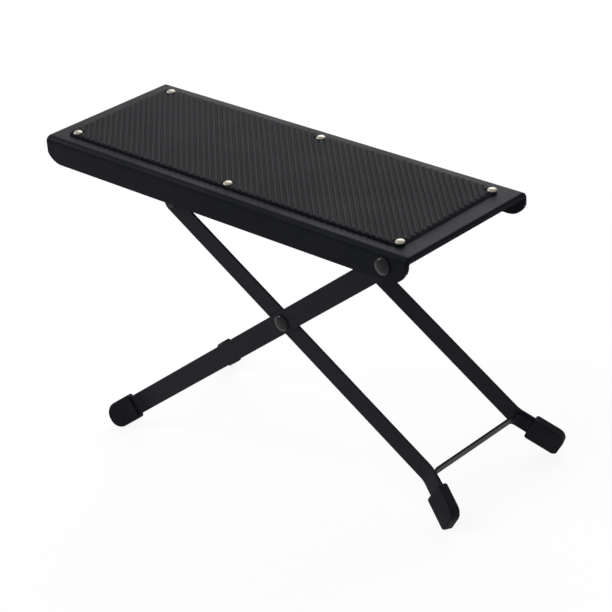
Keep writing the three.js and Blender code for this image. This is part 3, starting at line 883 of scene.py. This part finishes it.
prop_legs = {
    "name": "prop",
    "down": 1,
    "place": prop_place,
    "upper": to_rod.length,
    "bend_at": PROP_BEND_AT,
    "outer": prop_outer,
    "eye": BAR_WIDTH / 2,
    "hole": ROD_TENON + GAP,
    "cap_at": PROP_CAP_AT,
    "cap_drop": PROP_CAP_DROP,
    "cap_nose": PROP_CAP_NOSE,
    "cap_heel": PROP_CAP_HEEL,
}
hinged_legs = {
    "name": "hinged",
    "down": -1,
    "place": hinged_place,
    "upper": to_hinge.length,
    "bend_at": HINGED_BEND_AT,
    "outer": hinged_outer,
    "eye": HINGED_EYE,
    "hole": PLATE_PIN + GAP,
    "cap_at": HINGED_CAP_AT,
    "cap_drop": HINGED_CAP_DROP,
    "cap_nose": HINGED_CAP_NOSE,
    "cap_heel": HINGED_CAP_HEEL,
}


def slant(leg, distance, inward=0):
    """Place past the bend along the splayed end, moved inwards from the bar's middle line"""
    return (
        leg["bend_at"] + distance * math.cos(SPLAY) + inward * math.sin(SPLAY),
        leg["outer"] - BAR_THICKNESS / 2 + distance * math.sin(SPLAY) - inward * math.cos(SPLAY),
    )


def make_bar(leg):
    upper, eye = leg["upper"], leg["eye"]
    corners = [
        (-upper - eye, leg["outer"] - BAR_THICKNESS / 2),
        slant(leg, 0),
        slant(leg, leg["cap_at"] + CAP_INSET),
    ]
    bar = bent_strip(corners, BAR_BEND, BAR_THICKNESS, BAR_WIDTH)
    if eye < BAR_WIDTH / 2:
        # Tapered neck: two cuts across the bar, then its end drawn in to the eye's width
        for place in (BAR_NECK - upper, -upper):
            whole = [*bar.verts, *bar.edges, *bar.faces]
            bmesh.ops.bisect_plane(bar, geom=whole, plane_co=(place, 0, 0), plane_no=(1, 0, 0))
        neck = [vertex for vertex in bar.verts if vertex.co.x < BAR_NECK / 2 - upper]
        bmesh.ops.scale(bar, vec=(1, 1, 2 * eye / BAR_WIDTH), verts=neck)
    end = edges_along(bar, 1, lambda at: at.x < -upper - eye / 2)
    round_edges(bar, end, EYE_SHARE * eye, 2 * BEND_STEPS)
    bar = worked(bar, "DIFFERENCE", rod_along("Y", (-upper, 0, 0), leg["hole"], LEG_SPACING))
    return worked(bar, "DIFFERENCE", rod_along("Y", (0, 0, 0), CROSS_PIN + GAP, LEG_SPACING))


def make_strap(leg):
    inward = (BAR_THICKNESS + STRAP_THICKNESS) / 2 + GAP
    tab_end = slant(leg, leg["cap_at"] + CAP_INSET - STRAP_END_GAP, inward)
    knee = slant(leg, (STRAP_DROP - inward * math.sin(SPLAY)) / math.cos(SPLAY), inward)
    corners = [tab_end, knee, (knee[0], -knee[1]), (tab_end[0], -tab_end[1])]
    strap = bent_strip(corners, STRAP_BEND, STRAP_THICKNESS, STRAP_WIDTH)
    # Past the bends its tabs are as wide as the bars
    tabs = [vertex for vertex in strap.verts if abs(vertex.co.y) > knee[1] + STRAP_THICKNESS / 2]
    bmesh.ops.scale(strap, vec=(1, 1, BAR_WIDTH / STRAP_WIDTH), verts=tabs)
    return strap


def make_cap(leg):
    """Rubber boot with a slot for the bar and the end of the strap"""
    cap = block((CAP_LENGTH, CAP_THICKNESS, CAP_HEIGHT), (CAP_LENGTH / 2, -CAP_SHIFT, -leg["cap_drop"]))
    middle = -leg["cap_drop"]
    round_edges(
        cap,
        edges_along(cap, 1, lambda at: at.x > CAP_LENGTH - GAP and at.z > middle),
        leg["cap_nose"],
        2 * BEND_STEPS,
    )
    round_edges(
        cap,
        edges_along(cap, 1, lambda at: at.x > CAP_LENGTH / 2 and at.z < middle - CAP_HEIGHT / 2 + LEVEL),
        leg["cap_heel"],
        2 * BEND_STEPS,
    )
    round_edges(cap, edges_along(cap, 1, lambda at: at.x < GAP), CAP_CORNER, BEND_STEPS // 2)
    rim = [edge for edge in cap.edges if abs(edge.verts[0].co.y - edge.verts[1].co.y) < GAP]
    round_edges(cap, rim, CAP_ROUND, BEND_STEPS // 2)
    slot_length = CAP_INSET + GAP + OVERRUN
    slot = block(
        (slot_length, BAR_THICKNESS + STRAP_THICKNESS + 3 * GAP, BAR_WIDTH + 2 * GAP),
        (slot_length / 2 - OVERRUN, -(STRAP_THICKNESS + GAP) / 2, 0),
    )
    cap = worked(cap, "DIFFERENCE", slot)
    x, y = slant(leg, leg["cap_at"])
    splayed = Matrix.Translation((x, y, 0)) @ Matrix.Rotation(SPLAY, 4, "Z")
    bmesh.ops.transform(cap, matrix=splayed, verts=cap.verts)
    return cap


def cut_at_floor(cap):
    """Flattens the sole where the cap stands on the floor"""
    geometry = [*cap.verts, *cap.edges, *cap.faces]
    cut = bmesh.ops.bisect_plane(cap, geom=geometry, plane_co=(0, 0, 0), plane_no=(0, 0, 1), clear_inner=True)
    rim = [item for item in cut["geom_cut"] if isinstance(item, bmesh.types.BMEdge)]
    if rim:
        bmesh.ops.holes_fill(cap, edges=rim)


def make_legs(leg):
    name = leg["name"]
    body = f"{name}_legs"
    for label, side in (("near", -1), ("far", 1)):
        own_side = leg["place"] @ Matrix.Diagonal((leg["down"], side, 1, 1))
        # Painted light: the bars take the lighter copy of the black powder coat
        finish_piece(
            f"{name}_bar_{label}", make_bar(leg), own_side, body, f"{name}_leg_{label}", "powder_coat",
            finish="leg_coat_painted_lighter",
        )
        cap = make_cap(leg)
        bmesh.ops.transform(cap, matrix=own_side, verts=cap.verts)
        cut_at_floor(cap)
        node = f"{name}_foot_{label}"
        finish_piece(f"{name}_cap_{label}", cap, Matrix(), body, node, "foot_rubber", edge=0)
    across = leg["place"] @ Matrix.Diagonal((leg["down"], 1, 1, 1))
    finish_piece(f"{name}_tie", make_strap(leg), across, body, f"{name}_strap", "powder_coat")


def make_rod():
    shoulder = prop_inner - GAP
    head_base = prop_outer + GAP
    chamfer = ROD_HEAD_HEIGHT / 3
    half = [
        (ROD_RADIUS, shoulder - chamfer),
        (ROD_RADIUS - chamfer, shoulder),
        (ROD_TENON, shoulder),
        (ROD_TENON, head_base),
        (ROD_HEAD, head_base),
        (ROD_HEAD, head_base + chamfer),
        (ROD_HEAD - chamfer, head_base + ROD_HEAD_HEIGHT),
        (0, head_base + ROD_HEAD_HEIGHT),
    ]
    profile = [(radius, -height) for radius, height in reversed(half)] + half
    place = Matrix.Translation(rod_at)
    finish_piece("cross_rod", turned(profile), place, "prop_legs", "height_rod", "dark_steel", edge=0)


# Pivots

def ring_profile(inner, outer, start, end):
    chamfer = (end - start) / 6
    return [
        (inner, start),
        (outer - chamfer, start),
        (outer, start + chamfer),
        (outer, end - chamfer),
        (outer - chamfer, end),
        (inner, end),
        (inner, start),
    ]


def make_pivots():
    for label, turn in (("near", math.pi), ("far", 0)):
        facing = Matrix.Rotation(turn, 4, "X")
        at_plate = Matrix.Translation(plate_pivot) @ facing
        at_cross = Matrix.Translation(cross_pivot) @ facing
        washer_end = hinged_inner - GAP
        washer_start = washer_end - PLATE_WASHER_THICKNESS
        plate_rivet = rivet_profile(
            PLATE_PIN, PLATE_PIN_HEAD, PLATE_PIN_HEIGHT, PLATE_WIDTH / 2 + GAP,
            PLATE_PIN_TAIL, PLATE_PIN_TAIL_HEIGHT, washer_start - GAP,
        )
        cross_rivet = rivet_profile(
            CROSS_PIN, CROSS_PIN_HEAD, CROSS_PIN_HEIGHT, hinged_outer + GAP,
            CROSS_PIN_TAIL, CROSS_PIN_TAIL_HEIGHT, prop_inner - GAP,
        )
        spacer = ring_profile(PLATE_PIN + GAP, SPACER, hinged_outer + GAP, flange_inner - GAP)
        washer = ring_profile(PLATE_PIN + GAP, PLATE_WASHER, washer_start, washer_end)
        for name, profile, place, body, node, slot in (
            ("plate_rivet", plate_rivet, at_plate, "plate_pivots", "plate_pivot_rivet", "black_rivet"),
            ("plate_spacer", spacer, at_plate, "plate_pivots", "plate_pivot_spacer", "dark_steel"),
            ("plate_washer", washer, at_plate, "plate_pivots", "plate_pivot_washer", "dark_steel"),
            ("cross_rivet", cross_rivet, at_cross, "hinged_legs", "cross_pivot_rivet", "black_rivet"),
        ):
            finish_piece(f"{name}_{label}", turned(profile), place, body, f"{node}_{label}", slot, edge=0)


make_plate()
make_mat()
make_mat_rivets()
make_rack("near", -1)
make_rack("far", 1)
make_legs(prop_legs)
make_legs(hinged_legs)
make_rod()
make_pivots()


# Stage, light and camera

def make_floor():
    """White floor. Seen directly, in a gloss or through something it is nearly as bright as paper, with
    a faint shadow."""
    bm = bmesh.new()
    bmesh.ops.create_grid(bm, x_segments=1, y_segments=1, size=FLOOR_REACH)
    mesh = bpy.data.meshes.new("floor")
    bm.to_mesh(mesh)
    bm.free()
    floor = bpy.data.objects.new("floor", mesh)
    bpy.context.scene.collection.objects.link(floor)
    material, tree, shader, _ = start_finish("white floor")
    shader.inputs["Base Color"].default_value = FLOOR_TONE
    shader.inputs["Roughness"].default_value = FLOOR_ROUGHNESS
    paper = tree.nodes.new("ShaderNodeEmission")
    paper.inputs["Color"].default_value = WHITE
    rays = tree.nodes.new("ShaderNodeLightPath")
    seen = rays.outputs["Is Camera Ray"]
    for kind in ("Is Glossy Ray", "Is Transmission Ray"):
        either = tree.nodes.new("ShaderNodeMath")
        either.operation = "MAXIMUM"
        tree.links.new(seen, either.inputs[0])
        tree.links.new(rays.outputs[kind], either.inputs[1])
        seen = either.outputs[0]
    share = spread(tree, seen, 0.0, 1.0, 0.0, FLOOR_WHITE_SHARE)
    mix = tree.nodes.new("ShaderNodeMixShader")
    tree.links.new(share, mix.inputs[0])
    tree.links.new(shader.outputs["BSDF"], mix.inputs[1])
    tree.links.new(paper.outputs["Emission"], mix.inputs[2])
    output = next(node for node in tree.nodes if node.type == "OUTPUT_MATERIAL")
    tree.links.new(mix.outputs[0], output.inputs["Surface"])
    mesh.materials.append(material)


def make_lamp(name, at, target, size, watts):
    lamp = bpy.data.lights.new(name, "AREA")
    lamp.shape = "SQUARE"
    lamp.size = size
    lamp.energy = watts
    holder = bpy.data.objects.new(name, lamp)
    holder.location = at
    holder.rotation_euler = (target - Vector(at)).to_track_quat("-Z", "Y").to_euler()
    bpy.context.scene.collection.objects.link(holder)


def make_world():
    world = bpy.data.worlds.new("studio")
    world.use_nodes = True
    background = world.node_tree.nodes["Background"]
    background.inputs["Color"].default_value = WHITE
    background.inputs["Strength"].default_value = WORLD_STRENGTH
    bpy.context.scene.world = world


def make_camera():
    camera = bpy.data.cameras.new("camera")
    camera.sensor_width = CAMERA_SENSOR
    camera.lens = CAMERA_LENS
    holder = bpy.data.objects.new("camera", camera)
    holder.matrix_world = (
        Matrix.Translation(CAMERA_AT)
        @ Matrix.Rotation(CAMERA_AZIMUTH, 4, "Z")
        @ Matrix.Rotation(math.pi / 2 - CAMERA_ELEVATION, 4, "X")
        @ Matrix.Rotation(CAMERA_ROLL, 4, "Z")
    )
    bpy.context.scene.collection.objects.link(holder)
    bpy.context.scene.camera = holder


make_floor()
for lamp_name, lamp_at, lamp_size, lamp_watts in LAMPS:
    make_lamp(lamp_name, lamp_at, plate_place.translation, lamp_size, lamp_watts)
make_world()
make_camera()
bpy.context.scene.view_settings.view_transform = "Standard"
